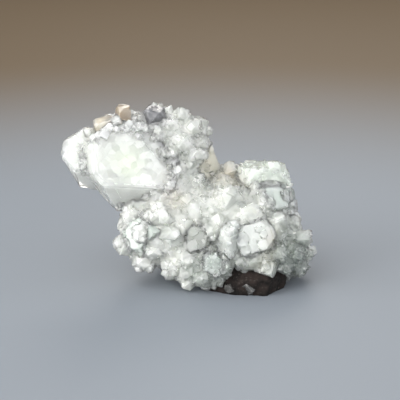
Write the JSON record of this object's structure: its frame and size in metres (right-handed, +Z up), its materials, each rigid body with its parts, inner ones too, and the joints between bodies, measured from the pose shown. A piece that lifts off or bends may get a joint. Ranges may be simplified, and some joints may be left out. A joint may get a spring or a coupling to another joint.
{
  "type": "apophyllite cluster",
  "caption": "Mineral specimen: a large glassy tetragonal crystal leaning off a crust of small clear crystals grown over a scrap of dark basalt. Stands on the rock's flat foot.",
  "frame": {"origin": "on the surface it stands on, under the middle of its outline", "axes": "+Z up; +X along its length, from the large crystal's side to the rock's side; +Y to its back"},
  "size_m": [0.0806, 0.0452, 0.0572],
  "materials": {
    "clear_crystal": "pearly glass, milky inside",
    "smoky_crystal": "grey glass",
    "honey_crystal": "pale honey glass",
    "crystal_crust": "glittering crust of small crystals",
    "basalt": "rough, dark and crumbly"
  },
  "bodies": {
    "root": {"main_crystal": "clear_crystal", "rear_crystal": "clear_crystal", "smoky_crystal": "smoky_crystal", "honey_crystal_left": "honey_crystal", "honey_crystal_top": "honey_crystal", "shoulder_crystal": "clear_crystal", "glassy_crystal": "clear_crystal", "edge_crystal": "clear_crystal", "bright_crystal": "clear_crystal", "snow_crystal": "clear_crystal", "pale_crystal": "clear_crystal", "round_crystal": "clear_crystal", "green_crystal": "clear_crystal", "basalt_rock": "basalt", "crystal_crust": "crystal_crust"}
  },
  "joints": []
}
